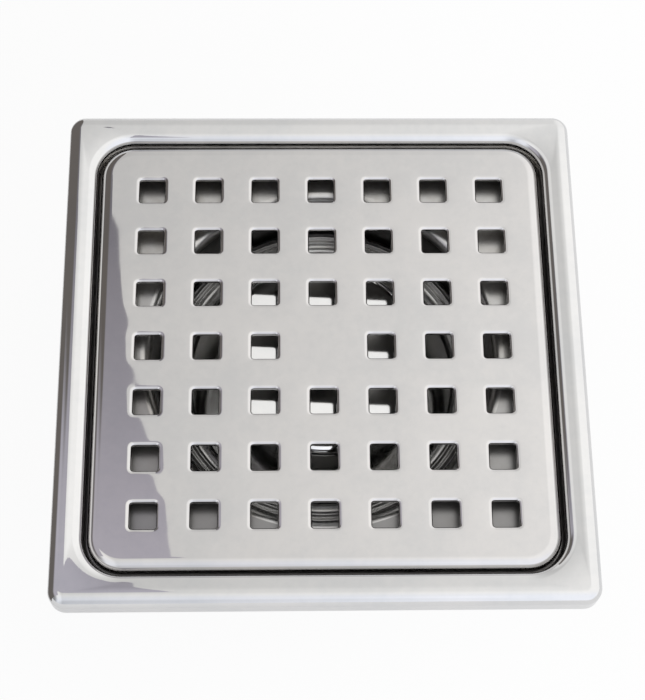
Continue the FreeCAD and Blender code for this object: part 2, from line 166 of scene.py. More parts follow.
# Fineness of the meshes: steps along each side and corner, and the shares at which rings are placed
RUN_STEP = 1.5 * MM
SUPPORT = 0.2 * MM
BEND_STEP = math.radians(12)
SHARP_ANGLE = math.radians(38)
ROUND_STEPS = 192
FRAME_SIDE_STEPS = 72
FRAME_CORNER_STEPS = 16
CELL_SIDE_STEPS = 6
CELL_CORNER_STEPS = 4
CELL_STEPS = CELL_SIDE_STEPS + CELL_CORNER_STEPS
CELL_TOP_SHARES = (0.75, 0.50, 0.30, 0.17, 0.08, 0.03)
CELL_UNDER_SHARES = (0.0, 0.1, 0.3, 0.7)
HOLE_ROLL_POINTS = 7
NOTCH_POINTS = 13
NOTCH_SPACE_POINTS = 25
WELD_RIPPLE_STEPS = 4
SEAM_STEPS_A_METRE = 1e6

# Camera, from a fit to the photograph's frame of 645 by 700
CAMERA_LENS = 85.795
CAMERA_SENSOR = 36.0
CAMERA_NEAR = 10.0 * MM
CAMERA_ELEVATION = math.radians(67.820)
CAMERA_AZIMUTH = math.radians(-3.4893)
CAMERA_ROLL = math.radians(3.0031)
CAMERA_DISTANCE = 402.11 * MM
CAMERA_OFFSET = (0.0875 * MM, 1.0928 * MM)

# Steel finishes
FRAME_COLOR = (0.72, 0.715, 0.71)
PLATE_COLOR = (0.675, 0.66, 0.65)
TRAP_COLOR = (0.82, 0.815, 0.805)
HAZED_SHADE = (0.925, 0.935, 0.945)
POLISHED_ROUGHNESS = 0.03
ROLLED_SHADE = (0.92, 0.92, 0.91)
ROLLED_STAIN = (0.50, 0.48, 0.45)
ROLLED_ROUGHNESS = 0.32
# Painted shade: the dark grey that the steel takes past rolled, in recesses, gaps and under the grating
SHADE_GREY = (0.225, 0.22, 0.22)
HAZE_ROUGHNESS = 0.015
SCRATCH_ROUGHNESS = 0.015
TRAP_ROUGHNESS = 0.10

# Patterns: scales are features a metre, and a range is where a pattern starts and is full
SCRATCH_TURNS = (0.35, -0.9)
SCRATCH_SCALE = 90.0
SCRATCH_DETAIL = 2.0
SCRATCH_STRETCH = (1, 30, 1)
SCRATCH_RANGE = (0.62, 0.78)
HAZE_SCALE = 45.0
HAZE_FINE_SCALE = 420.0
HAZE_FINE_SHARE = 0.5
HAZE_DETAIL = 3.0
HAZE_RANGE = (0.50, 1.05)
FRAME_RIPPLE_DEPTH = 0.03 * MM
FRAME_RIPPLE_SCALE = 55.0
SHEET_RIPPLE_DEPTH = 0.04 * MM
SHEET_RIPPLE_SCALE = 70.0
RIPPLE_DETAIL = 1.0

# Rubber
RUBBER_BLACK = (0.03, 0.03, 0.03)
RUBBER_BLOOM = (2.0, 2.0, 2.0)
RUBBER_BLOOM_SCALE = 120.0
RUBBER_ROUGHNESS = (0.55, 0.75)

# Studio: levels are shares of white. A gain is a side, given as factors of a direction's x, y and z,
# where it starts and is full, and its level.
FLOOR_REACH = 4.0
FLOOR_COLOR = (0.9, 0.9, 0.9)
FLOOR_ROUGHNESS = 0.9
FLOOR_GLOW = 0.93
FLOOR_MIRRORED_GLOW = 0.35
STUDIO_LEVEL = 0.81
STUDIO_PEAK = 1.25
STUDIO_TINT = (1.005, 1.0, 0.99)
STUDIO_COOL_TINT = (0.965, 0.99, 1.06)
STUDIO_COOL_SIDE = (0.0, -1.0, 0.0)
STUDIO_COOL_REACH = (0.0, 0.8)
STUDIO_GAINS = (
    ((1.0, 0.0, 0.0), -0.25, 0.50, 0.50),
    ((0.0, -1.0, 0.0), -0.15, 0.25, 0.14),
    ((0.0, -1.0, 0.0), 0.70, 0.97, -0.28),
    ((0.7, -0.7, 0.0), 0.45, 0.85, 0.30),
    ((0.0, 1.0, 0.0), 0.25, 0.65, -0.12),
    ((-1.0, 0.0, 0.0), 0.18, 0.36, 0.20),
    ((-1.0, 0.0, 0.0), 0.55, 0.85, -0.80),
)

# Dim screen at the left that hangs over the drain. Its edge is three factors of a curve in y, and its
# rear end is given at shares of the way from that edge to the wall.
SCREEN_RISE = 123.0 * MM
SCREEN_EDGE = (0.650, -0.2272, -0.0502)
SCREEN_FRONT = -45.0 * MM
SCREEN_REAR = (
    (0.0, 0.025, 0.045, 0.3, 1.0),
    (94.0 * MM, 101.0 * MM, 112.0 * MM, 118.0 * MM, 350.0 * MM),
)
SCREEN_CORNER = 10.0 * MM
SCREEN_WALL = -130.0 * MM
SCREEN_WALL_FRONT = -90.0 * MM
SCREEN_FALL = (-20.0 * MM, 100.0 * MM, 0.58, 0.26)
SCREEN_LOW_REACH = (115.0 * MM, 85.0 * MM)
SCREEN_FAR_REACH = (-90.0 * MM, -118.0 * MM)
SCREEN_FAR_FRONT = (5.0 * MM, 50.0 * MM)
SCREEN_TINT = (0.985, 0.95, 1.065)
SCREEN_DARK = (0.17, 0.155, 0.145)
SCREEN_OVER_POINTS = 9
SCREEN_DOWN_POINTS = 7
SCREEN_ALONG_POINTS = 49


# Sections and paths

def rounded_section(corners):
    """Closed outline of a sheet's section.

    Each corner is (out, up, radius). A corner with a radius becomes the arc of that radius tangent to
    its two runs, cut at even turns. A run is cut into even steps, with one more cut close to each of its
    ends. With the outline comes each point's place on it: a corner's number, and half more on the run
    after it.
    """
    points = np.array([corner[:2] for corner in corners])
    radii = np.array([corner[2] for corner in corners])
    back = np.roll(points, 1, axis=0) - points
    ahead = np.roll(points, -1, axis=0) - points
    back /= np.linalg.norm(back, axis=1, keepdims=True)
    ahead /= np.linalg.norm(ahead, axis=1, keepdims=True)
    half_angle = np.arccos(np.clip((back * ahead).sum(axis=1), -1, 1)) / 2
    middle = back + ahead
    middle /= np.linalg.norm(middle, axis=1, keepdims=True)
    hubs = points + middle * (radii / np.sin(half_angle))[:, None]
    tangents = (radii / np.tan(half_angle))[:, None]
    starts = points + back * tangents
    ends = points + ahead * tangents

    outline = []
    for i, radius in enumerate(radii):
        if radius > 0:
            outline.append(arc_points(hubs[i], starts[i], ends[i]))
        else:
            outline.append(points[i:i + 1])
        outline.append(run_points(ends[i], starts[(i + 1) % len(points)]))
    places = [np.full(len(stretch), i / 2) for i, stretch in enumerate(outline)]
    return np.concatenate(outline), np.concatenate(places)


def arc_points(hub, start, end):
    """The arc about hub from start to end, the short way round, at even turns."""
    first = math.atan2(*(start - hub)[::-1])
    turn = math.atan2(*(end - hub)[::-1]) - first
    turn = (turn + math.pi) % (2 * math.pi) - math.pi
    count = max(3, math.ceil(abs(turn) / BEND_STEP))
    angles = first + np.linspace(0, turn, count + 1)
    return hub + np.linalg.norm(start - hub) * np.stack([np.cos(angles), np.sin(angles)], axis=1)


def run_points(start, end):
    """The points between start and end: even steps, and one at a short distance from each end."""
    length = np.linalg.norm(end - start)
    if length < 3 * SUPPORT:
        return np.empty((0, 2))
    inner = np.linspace(SUPPORT, length - SUPPORT, max(2, math.ceil(length / RUN_STEP)))
    return start + (end - start) * (inner / length)[:, None]


def quarter_turns(quarter):
    """A quarter's points and the same points turned by one, two and three right angles."""
    x, y = quarter[..., 0], quarter[..., 1]
    turns = [(x, y), (-y, x), (-x, -y), (y, -x)]
    return np.concatenate([np.stack(turn, axis=-1) for turn in turns], axis=-2)


def square_path(side_steps, corner_steps):
    """Factors of a rounded square's path: point = (half side - corner) * flat + corner * bend.

    Along a side, flat is (1, s) with s from -1 to 1 and bend is (1, 0). In a corner, flat is (1, 1) and
    bend goes round a quarter of the unit circle. One quarter starts at the foot of the right side.
    """
    s = np.linspace(-1, 1, side_steps, endpoint=False)
    angle = np.linspace(0, math.pi / 2, corner_steps, endpoint=False)
    flat = np.concatenate([np.stack([np.ones_like(s), s], axis=1), np.ones((corner_steps, 2))])
    bend = np.concatenate([
        np.stack([np.ones_like(s), np.zeros_like(s)], axis=1),
        np.stack([np.cos(angle), np.sin(angle)], axis=1),
    ])
    return quarter_turns(flat), quarter_turns(bend)


def even_square(side_steps, corner_steps):
    """A sharp unit square in even steps, with its corners at a rounded square's middle corner points."""
    count = side_steps + corner_steps
    along = (np.arange(count) + corner_steps / 2) * 2 / count
    quarter = np.stack([1 - np.maximum(along - 2, 0), np.minimum(along - 1, 1)], axis=1)
    return quarter_turns(quarter)


def even_circle(side_steps, corner_steps):
    """A unit circle in even steps, with its diagonals at a rounded square's middle corner points."""
    count = side_steps + corner_steps
    steps = np.arange(4 * count) - side_steps - corner_steps / 2
    angle = math.pi / 4 + steps * math.pi / (2 * count)
    return np.stack([np.cos(angle), np.sin(angle)], axis=1)


def lifted(plan, heights):
    """Plan points, row by row, with one height for each row."""
    rows, columns = plan.shape[:2]
    z = np.broadcast_to(np.asarray(heights)[:, None], (rows, columns))
    return np.concatenate([plan, z[..., None]], axis=-1)


def smooth_step(share):
    """A share from 0 to 1 eased at both ends: share^2 * (3 - 2 * share)."""
    return share ** 2 * (3 - 2 * share)


# Meshes

def grid_faces(rows, columns, closed_rows):
    """Quads of a grid whose columns close round, and whose rows may close too.

    They face along path x section.
    """
    row = np.arange(rows if closed_rows else rows - 1)
    column = np.arange(columns)
    row, column = np.meshgrid(row, column, indexing="ij")
    next_row = (row + 1) % rows
    next_column = (column + 1) % columns
    corners = [(row, column), (row, next_column), (next_row, next_column), (next_row, column)]
    return np.stack([r * columns + c for r, c in corners], axis=-1).reshape(-1, 4)


def patch_faces(rows, columns):
    """Quads of an open grid. They face along columns x rows."""
    index = np.arange(rows * columns).reshape(rows, columns)
    corners = [index[:-1, :-1], index[:-1, 1:], index[1:, 1:], index[1:, :-1]]
    return np.stack(corners, axis=-1).reshape(-1, 4)


def new_piece(name, points, face_groups, dull_and_shade, material, node):
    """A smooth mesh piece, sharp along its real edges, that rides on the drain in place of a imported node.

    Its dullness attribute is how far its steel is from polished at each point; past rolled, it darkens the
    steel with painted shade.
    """
    mesh = bpy.data.meshes.new(name)
    faces = [face for group in face_groups for face in group.tolist()]
    mesh.from_pydata(points.reshape(-1, 3).tolist(), [], faces)
    mesh.validate()
    finish = mesh.attributes.new("dull_and_shade", "FLOAT", "POINT")
    levels = np.broadcast_to(dull_and_shade, points.shape[:-1]).astype(np.float32)
    finish.data.foreach_set("value", levels.ravel())
    mesh.shade_smooth()
    mesh.set_sharp_from_angle(angle=SHARP_ANGLE)
    mesh.materials.append(material)
    piece = bpy.data.objects.new(name, mesh)
    bpy.context.scene.collection.objects.link(piece)
    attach(piece, BODY)
    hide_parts(node)


def turned_grid(section, angles):
    """A section of (radius, height) rows turned about the axis through the given angles."""
    circle = np.stack([np.cos(angles), np.sin(angles)], axis=1)
    return lifted(section[:, 0, None, None] * circle, section[:, 1])


def even_angles(count):
    """A full turn in even steps."""
    return np.arange(count) * 2 * math.pi / count


# Pieces

def make_frame(material):
    """Pressed frame: its sheet's section carried round a path that changes from circle to rounded square.

    A row at half side h is a circle of radius h in the bowl, a rounded square of half side h at the rim,
    and on the flat ledge between them a smooth mix of the two. The ledge carries painted shade that deepens
    towards the front, the bowl's wall is painted in full shade, and the gap round the grating carries
    painted shade that fades out at the back, where the gap and its wall are also polished.
    """
    gauge = FRAME_GAUGE
    recess_half = RIM_HALF - RIM_WIDTH
    bowl_base = SPIGOT_BORE + SEAT_WIDTH
    bowl_mouth = bowl_base + BOWL_DRAFT
    skirt_z = RIM_Z - SKIRT_HEIGHT
    crest_half = RIM_HALF - RIM_CREST
    under_fall = RIM_FALL * (1 - gauge / (crest_half - recess_half))
    recess_wall, recess_floor, bowl_wall = 3.5, 4.5, 5.5
    section, place = rounded_section([
        (RIM_HALF, skirt_z, EDGE_BREAK),
        (RIM_HALF, RIM_Z, RIM_EDGE_RADIUS),
        (crest_half, RIM_Z, RIM_CREST_RADIUS),
        (recess_half, RIM_Z - RIM_FALL, SHOULDER_RADIUS),
        (recess_half, FLOOR_Z, BEND_RADIUS),
        (bowl_mouth, FLOOR_Z, BOWL_LIP_RADIUS),
        (bowl_base, SEAT_Z, BEND_RADIUS),
        (SPIGOT_BORE, SEAT_Z, EDGE_BREAK),
        (SPIGOT_BORE, SEAT_UNDERSIDE_Z, EDGE_BREAK),
        (bowl_base + gauge, SEAT_UNDERSIDE_Z, BEND_RADIUS + gauge),
        (bowl_mouth + gauge, FLOOR_Z - gauge, BOWL_LIP_RADIUS - gauge),
        (recess_half + gauge, FLOOR_Z - gauge, BEND_RADIUS + gauge),
        (recess_half + gauge, RIM_Z - gauge - under_fall, SHOULDER_RADIUS - gauge),
        (crest_half, RIM_Z - gauge, RIM_CREST_RADIUS - gauge),
        (RIM_HALF - gauge, RIM_Z - gauge, RIM_EDGE_RADIUS - gauge),
        (RIM_HALF - gauge, skirt_z, EDGE_BREAK),
    ])
    half = section[:, 0]
    recess_corner = GRATING_CORNER + RECESS_GAP
    shoulder_half = recess_half + SHOULDER_RADIUS
    edge_half = RIM_HALF - RIM_EDGE_RADIUS
    shoulder_corner = recess_corner + SHOULDER_RADIUS
    edge_corner = FRAME_CORNER - RIM_EDGE_RADIUS
    corner = np.interp(
        half,
        [recess_half - recess_corner, recess_half, shoulder_half, edge_half, RIM_HALF],
        [0, recess_corner, shoulder_corner, edge_corner, FRAME_CORNER],
    )
    flat, bend = square_path(FRAME_SIDE_STEPS, FRAME_CORNER_STEPS)
    square = (half - corner)[:, None, None] * flat + corner[:, None, None] * bend
    ring = half[:, None, None] * even_circle(FRAME_SIDE_STEPS, FRAME_CORNER_STEPS)
    squareness = np.clip((half - LEDGE_ROUND) / (LEDGE_SQUARE - LEDGE_ROUND), 0, 1)
    squareness = smooth_step(squareness)[:, None, None]
    points = lifted(ring + squareness * (square - ring), section[:, 1])
    faces = grid_faces(*points.shape[:2], closed_rows=True)

    row_dull = np.where(place > recess_wall, ROLLED, POLISHED)
    dull_and_shade = np.repeat(row_dull[:, None], points.shape[1], axis=1)
    ledge = (place > recess_wall) & (place <= recess_floor)
    # Painted shade on the ledge, darker towards the front
    dull_and_shade[ledge] = np.interp(points[ledge, :, 1], *LEDGE_SHADE)
    # Painted shade on the bowl's wall
    dull_and_shade[place == bowl_wall] = BOWL_PAINTED_SHADE
    # Share of the gap's painted shade and the recess wall's dullness: whole in front, none at the back
    shade_and_dull_share = np.interp(points[..., 1], SHADE_AND_DULL_BACK_FADE, (1, 0))
    wall = place == recess_wall
    dull_and_shade[wall] = WALL_DULLNESS * shade_and_dull_share[wall]
    gap = ledge & (half > GRATING_HALF - GAP_SHADE_REACH)
    dull_and_shade[gap] = GAP_DULL_AND_SHADE * shade_and_dull_share[gap]
    new_piece("pressed_frame", points, [faces], dull_and_shade, material, "frame")


def punched_cell():
    """One cell of the plate about its hole: rings of points from the cell's edge in and back underneath.

    A ring at distance d from the hole's wall is a rounded square of half side hole / 2 + d and corner
    radius + d. The sheet is dished by depth * exp(-d / reach), with d from the rolled edge on, and its
    top edge is rolled in a quarter circle.
    """
    flat, bend = square_path(CELL_SIDE_STEPS, CELL_CORNER_STEPS)
    edge = even_square(CELL_SIDE_STEPS, CELL_CORNER_STEPS) * HOLE_PITCH / 2
    span = (HOLE_PITCH - HOLE_SIZE) / 2

    slope = HOLE_ROLL + np.array(CELL_TOP_SHARES) * (span - HOLE_ROLL)
    turn = np.linspace(0, math.pi / 2, HOLE_ROLL_POINTS)
    under = np.array(CELL_UNDER_SHARES) * span
    distance = np.concatenate([slope, HOLE_ROLL * (1 - np.sin(turn)), under])
    top_count = len(slope) + len(turn)
    dish = DISH_DEPTH * np.exp(-np.maximum(distance - HOLE_ROLL, 0) / DISH_REACH)
    height = GRATING_Z - dish
    height[len(slope):top_count] -= HOLE_ROLL * (1 - np.cos(turn))
    height[top_count:] -= GRATING_GAUGE

    half = HOLE_SIZE / 2 + distance
    corner = HOLE_CORNER + distance
    rings = (half - corner)[:, None, None] * flat + corner[:, None, None] * bend
    rings = np.concatenate([edge[None], rings, edge[None]])
    height = np.concatenate([[GRATING_Z], height, [GRATING_Z - GRATING_GAUGE]])
    # The underside carries painted shade
    dull_and_shade = np.where(np.arange(len(height)) > top_count, UNDERSIDE_DULL_AND_SHADE, POLISHED)
    return lifted(rings, height), np.broadcast_to(dull_and_shade[:, None], rings.shape[:2])


def blank_cell():
    """The plate's plain middle cell: an even grid on top and another underneath, facing down."""
    line = np.linspace(-HOLE_PITCH / 2, HOLE_PITCH / 2, CELL_STEPS + 1)
    x, y = np.meshgrid(line, line)
    quads = patch_faces(*x.shape)
    top = np.stack([x, y, np.full_like(x, GRATING_Z)], axis=-1).reshape(-1, 3)
    bottom = top - (0, 0, GRATING_GAUGE)
    faces = np.concatenate([quads, quads[:, ::-1] + x.size])
    # The underside carries painted shade
    dull_and_shade = np.repeat([POLISHED, UNDERSIDE_DULL_AND_SHADE], x.size)
    return np.concatenate([top, bottom]), faces, dull_and_shade


def grating_border(cells):
    """The plate's plain edge: rings from the block of cells out, down the turned edge and back inside.

    A ring is a mix of a sharp square in even steps, at the block, and a rounded square, from the bend on.
    """
    side_steps = CELL_STEPS * (cells - 1)
    block = HOLE_PITCH * cells / 2
    flat, bend = square_path(side_steps, CELL_STEPS)
    edge = even_square(side_steps, CELL_STEPS) * block
    gauge = GRATING_GAUGE
    outline, place = rounded_section([
        (block, GRATING_Z - gauge, 0),
        (GRATING_HALF - gauge, GRATING_Z - gauge, GRATING_EDGE_RADIUS - gauge),
        (GRATING_HALF - gauge, FLOOR_Z, EDGE_BREAK),
        (GRATING_HALF, FLOOR_Z, EDGE_BREAK),
        (GRATING_HALF, GRATING_Z, GRATING_EDGE_RADIUS),
        (block, GRATING_Z, 0),
    ])
    outside_foot, outside_bend = 3, 4
    is_flange = outline[:, 0] > block + SUPPORT / 2
    flange = outline[is_flange]
    half = flange[:, 0]
    turned_half = GRATING_HALF - GRATING_EDGE_RADIUS
    corner = GRATING_CORNER - GRATING_HALF + np.maximum(half, turned_half)
    rings = (half - corner)[:, None, None] * flat + corner[:, None, None] * bend
    roundness = np.clip((half - block) / (turned_half - block), 0, 1)[:, None, None]
    rings = roundness * rings + (1 - roundness) * half[:, None, None] / block * edge
    rings = np.concatenate([edge[None], rings, edge[None]])
    height = np.concatenate([[GRATING_Z - gauge], flange[:, 1], [GRATING_Z]])
    place = place[is_flange]
    stretches = [place < outside_foot, place < outside_bend]
    # The underside and the turned edge's outside carry painted shade
    flange_dull_and_shade = np.select(stretches, [UNDERSIDE_DULL_AND_SHADE, SIDE_DULL_AND_SHADE], POLISHED)
    dull_and_shade = np.concatenate([[UNDERSIDE_DULL_AND_SHADE], flange_dull_and_shade, [POLISHED]])
    return lifted(rings, height), np.broadcast_to(dull_and_shade[:, None], rings.shape[:2])


def make_grating(material):
    """Perforated plate: 48 punched cells round a plain one, and a turned-down edge, joined at the seams.

    The plate is crowned: its top drops by crown * ((x / half)^2 + (y / half)^2), which fades out down
    the edge. The painted shade on its underside and turned edge grows less towards the back, where the
    underside is also less dull.
    """
    cells = 2 * HOLE_RINGS + 1
    line = (np.arange(cells) - HOLE_RINGS) * HOLE_PITCH
    x, y = np.meshgrid(line, line)
    middles = np.stack([x.ravel(), y.ravel(), np.zeros(x.size)], axis=1)
    punched = middles[np.abs(middles).max(axis=1) > HOLE_PITCH / 2]

    cell, cell_dull_and_shade = punched_cell()
    cell_faces = grid_faces(*cell.shape[:2], closed_rows=False)
    cell_points = (punched[:, None] + cell.reshape(1, -1, 3)).reshape(-1, 3)
    starts = np.arange(len(punched))[:, None, None] * cell.size // 3
    cell_faces = (cell_faces[None] + starts).reshape(-1, 4)
    border, border_dull_and_shade = grating_border(cells)
    border_faces = grid_faces(*border.shape[:2], closed_rows=False)

    points, faces, dull_and_shade = welded([
        (cell_points, cell_faces, np.tile(cell_dull_and_shade.ravel(), len(punched))),
        blank_cell(),
        (border.reshape(-1, 3), border_faces, border_dull_and_shade.ravel()),
    ])
    drop = CROWN_DROP * (points[:, 0] ** 2 + points[:, 1] ** 2) / GRATING_HALF ** 2
    reach = np.clip((points[:, 2] - FLOOR_Z) / (GRATING_Z - GRATING_GAUGE - FLOOR_Z), 0, 1)
    points[:, 2] -= drop * reach
    # Painted shade and dullness fall towards the back
    dull_and_shade *= np.interp(points[:, 1], *GRATING_SHADE_AND_DULL_BACK_FADE)
    new_piece("perforated_grating", points, [faces], dull_and_shade, material, "grating")


def welded(patches):
    """Patches of points, quads and dullness with painted shade as one mesh, with points on the same fine
    step made one.
    """
    patch_points, patch_quads, patch_dull_and_shade = zip(*patches)
    starts = np.cumsum([0] + [len(points) for points in patch_points])
    points = np.concatenate(patch_points)
    faces = np.concatenate([quads + start for quads, start in zip(patch_quads, starts)])
    keys = np.round(points * SEAM_STEPS_A_METRE).astype(np.int64)
    _, first, inverse = np.unique(keys, axis=0, return_index=True, return_inverse=True)
    return points[first], inverse.reshape(-1)[faces], np.concatenate(patch_dull_and_shade)[first]


def flange_beads():
    """Corners of the beads round the cup's flange, from its edge in: feet and crests by turns."""
    step = np.arange(2 * CUP_BEADS + 1)
    out = CUP_RIM - CUP_BEAD_INSET - CUP_BEAD_PITCH * step / 2
    up = CUP_RIM_Z + CUP_BEAD_HEIGHT * (step % 2)
    return np.stack([out, up, np.full(len(step), CUP_BEAD_RADIUS)], axis=1)


def make_trap_cup(material):
    """Drawn cup: its sheet's section, with beads on the flange, turned about the axis."""
    gauge = CUP_GAUGE
    floor_z = CUP_UNDERSIDE_Z + gauge
    boss_z = floor_z + CUP_BOSS_RISE
    section, _ = rounded_section([
        (STANDPIPE_OUTSIDE, boss_z - gauge, 0),
        (BOSS_RADIUS - gauge, boss_z - gauge, 0),
        (BOSS_RADIUS - gauge, CUP_UNDERSIDE_Z, 0),
        (CUP_OUTSIDE, CUP_UNDERSIDE_Z, CUP_FOOT_RADIUS),
        (CUP_OUTSIDE, CUP_RIM_Z - gauge, CUP_LIP_RADIUS - gauge),
        (CUP_RIM, CUP_RIM_Z - gauge, EDGE_BREAK),
        (CUP_RIM, CUP_RIM_Z, EDGE_BREAK),
        *flange_beads(),
        (CUP_INSIDE, CUP_RIM_Z, CUP_LIP_RADIUS),
        (CUP_INSIDE, floor_z, CUP_FOOT_RADIUS - gauge),
        (BOSS_RADIUS, floor_z, 0),
        (BOSS_RADIUS, boss_z, gauge),
        (STANDPIPE_OUTSIDE, boss_z, 0),
    ])
    points = turned_grid(section, even_angles(ROUND_STEPS))
    faces = grid_faces(*points.shape[:2], closed_rows=True)
    new_piece("drawn_trap_cup", points, [faces], CUP_DULLNESS, material, "trap_cup")


def notch_angles():
    """Angles round the bell, two close together at a notch's sides, and each one's share in a notch."""
    half_notch = math.asin(NOTCH_WIDTH / 2 / BELL_OUTSIDE)
    edge = NOTCH_EDGE / BELL_OUTSIDE
    pitch = 2 * math.pi / NOTCH_COUNT
    inside = np.linspace(-half_notch + edge, half_notch - edge, NOTCH_POINTS)
    outside = np.linspace(half_notch + edge, pitch - half_notch - edge, NOTCH_SPACE_POINTS)
    one = np.concatenate([inside, outside])
    share = np.concatenate([np.ones_like(inside), np.zeros_like(outside)])
    turns = np.arange(NOTCH_COUNT)[:, None] * pitch
    return (turns + one).ravel(), np.tile(share, NOTCH_COUNT)


def make_bell(material):
    """Drawn bell: its wall's section turned about the axis, with a notched foot and a crown out of level.

    Within a notch, the wall's rows are squeezed into what is left above it. The crown is lower by
    sink + slope * x, which fades in over the top of the wall. The crown's middle is closed by one point
    on each side.
    """
    gauge = CUP_GAUGE
    section, _ = rounded_section([
        (BELL_INSIDE, BELL_FOOT_Z, 0),
        (BELL_OUTSIDE, BELL_FOOT_Z, 0),
        (BELL_OUTSIDE, BELL_Z, BELL_SHOULDER_RADIUS),
        (BELL_APEX, BELL_Z, 0),
        (BELL_APEX, BELL_Z - gauge, 0),
        (BELL_INSIDE, BELL_Z - gauge, BELL_SHOULDER_RADIUS - gauge),
    ])
    gap = np.flatnonzero(section[:, 0] < BELL_APEX + SUPPORT / 2)
    section = np.concatenate([section[gap[-1]:], section[:gap[0] + 1]])
    angles, share = notch_angles()
    points = turned_grid(section, angles)

    wall_top = BELL_Z - BELL_SHOULDER_RADIUS
    foot = BELL_FOOT_Z + NOTCH_HEIGHT * share
    height = points[..., 2]
    squeezed = foot + (height - BELL_FOOT_Z) * (wall_top - foot) / (wall_top - BELL_FOOT_Z)
    points[..., 2] = np.where(height < wall_top, squeezed, height)

    rows, columns = points.shape[:2]
    wall = grid_faces(rows, columns, closed_rows=False)
    hubs = np.array([[0, 0, BELL_Z - gauge], [0, 0, BELL_Z]])
    here = np.arange(columns)
    after = np.roll(here, -1)
    inner_hub = np.full(columns, rows * columns)
    last_row = (rows - 1) * columns
    inner_cap = np.stack([after, here, inner_hub], axis=1)
    outer_cap = np.stack([last_row + here, last_row + after, inner_hub + 1], axis=1)

    points = np.concatenate([points.reshape(-1, 3), hubs])
    lean_foot = BELL_Z - BELL_LEAN_DEPTH
    fade = smooth_step(np.clip((points[:, 2] - lean_foot) / (wall_top - lean_foot), 0, 1))
    points[:, 2] -= (BELL_CROWN_SINK + BELL_LEAN * points[:, 0]) * fade
    faces = [wall, inner_cap, outer_cap]
    new_piece("drawn_bell", points, faces, POLISHED, material, "bell")


def make_spigot(material):
    """Outlet tube: its section turned about the axis, with a weld bead that is rippled round the tube."""
    section, _ = rounded_section([
        (SPIGOT_BORE, SPIGOT_END_Z, EDGE_BREAK),
        (SPIGOT_RADIUS, SPIGOT_END_Z, EDGE_BREAK),
        (SPIGOT_RADIUS, SEAT_UNDERSIDE_Z - WELD_LEG, WELD_TOE_RADIUS),
        (SPIGOT_RADIUS + WELD_LEG, SEAT_UNDERSIDE_Z, 0),
        (SPIGOT_BORE, SEAT_UNDERSIDE_Z, 0),
    ])
    angles = even_angles(WELD_RIPPLE_STEPS * WELD_RIPPLES)
    points = turned_grid(section, angles)
    bead = np.clip((section[:, 0] - SPIGOT_RADIUS) / WELD_LEG, 0, 1)
    ripple = (1 + np.cos(WELD_RIPPLES * angles)) * WELD_RIPPLE_DEPTH
    swell = np.sin(math.pi * bead)[:, None] * ripple
    radius = section[:, 0, None]
    points[..., :2] *= ((radius + swell) / radius)[..., None]
    faces = grid_faces(*points.shape[:2], closed_rows=True)
    new_piece("outlet_spigot", points, [faces], ROLLED, material, "spigot")


# Materials

def new_material(name):
    """A material with its nodes, its links and its main shader."""
    material = bpy.data.materials.new(name)
    material.use_nodes = True
    nodes = material.node_tree.nodes
    return material, nodes, material.node_tree.links, nodes["Principled BSDF"]


def new_group(name, inputs, outputs):
    """A shader node group with named number inputs and named number outputs."""
    group = bpy.data.node_groups.new(name, "ShaderNodeTree")
    for label, default in inputs.items():
        socket = group.interface.new_socket(name=label, in_out="INPUT", socket_type="NodeSocketFloat")
        socket.default_value = default
    for label in outputs:
        group.interface.new_socket(name=label, in_out="OUTPUT", socket_type="NodeSocketFloat")
    return group, group.nodes.new("NodeGroupInput"), group.nodes.new("NodeGroupOutput")


def feed(links, value, socket):
    """Give an input a number, a colour's three channels, or what another socket gives."""
    if isinstance(value, bpy.types.NodeSocket):
        links.new(value, socket)
    elif socket.type == "RGBA":
        socket.default_value = (*value, 1)
    else:
        socket.default_value = value


def math_node(nodes, links, operation, *values):
    """A math node whose inputs are numbers or sockets."""
    node = nodes.new("ShaderNodeMath")
    node.operation = operation
    for value, socket in zip(values, node.inputs):
        feed(links, value, socket)
    return node.outputs[0]


def range_node(nodes, links, value, from_low, from_high, to_low=0.0, to_high=1.0, smooth=False):
    """A number taken from one range to another, and held at the ends."""
    node = nodes.new("ShaderNodeMapRange")
    node.interpolation_type = "SMOOTHSTEP" if smooth else "LINEAR"
    links.new(value, node.inputs["Value"])
    feed(links, from_low, node.inputs["From Min"])
    feed(links, from_high, node.inputs["From Max"])
    feed(links, to_low, node.inputs["To Min"])
    feed(links, to_high, node.inputs["To Max"])
    return node.outputs["Result"]


def object_noise(nodes, links, scale, detail, stretch=(1, 1, 1), turn=0.0):
    """Noise on object coordinates, stretched and turned about Z."""
    place = nodes.new("ShaderNodeTexCoord")
    mapping = nodes.new("ShaderNodeMapping")
    mapping.inputs["Scale"].default_value = stretch
    mapping.inputs["Rotation"].default_value = (0, 0, turn)
    links.new(place.outputs["Object"], mapping.inputs["Vector"])
    noise = nodes.new("ShaderNodeTexNoise")
    noise.inputs["Detail"].default_value = detail
    feed(links, scale, noise.inputs["Scale"])
    links.new(mapping.outputs["Vector"], noise.inputs["Vector"])
    return noise.outputs["Fac"]


def make_scratch_group():
    """Fine scratches in two directions: stretched noise, kept only where it is high."""
    group, _, result = new_group("fine_scratches", {}, ["Scratch"])
    nodes, links = group.nodes, group.links
    lines = []
    for turn in SCRATCH_TURNS:
        noise = object_noise(nodes, links, SCRATCH_SCALE, SCRATCH_DETAIL, SCRATCH_STRETCH, turn)
        lines.append(range_node(nodes, links, noise, *SCRATCH_RANGE))
    links.new(math_node(nodes, links, "MAXIMUM", *lines), result.inputs["Scratch"])
    return group


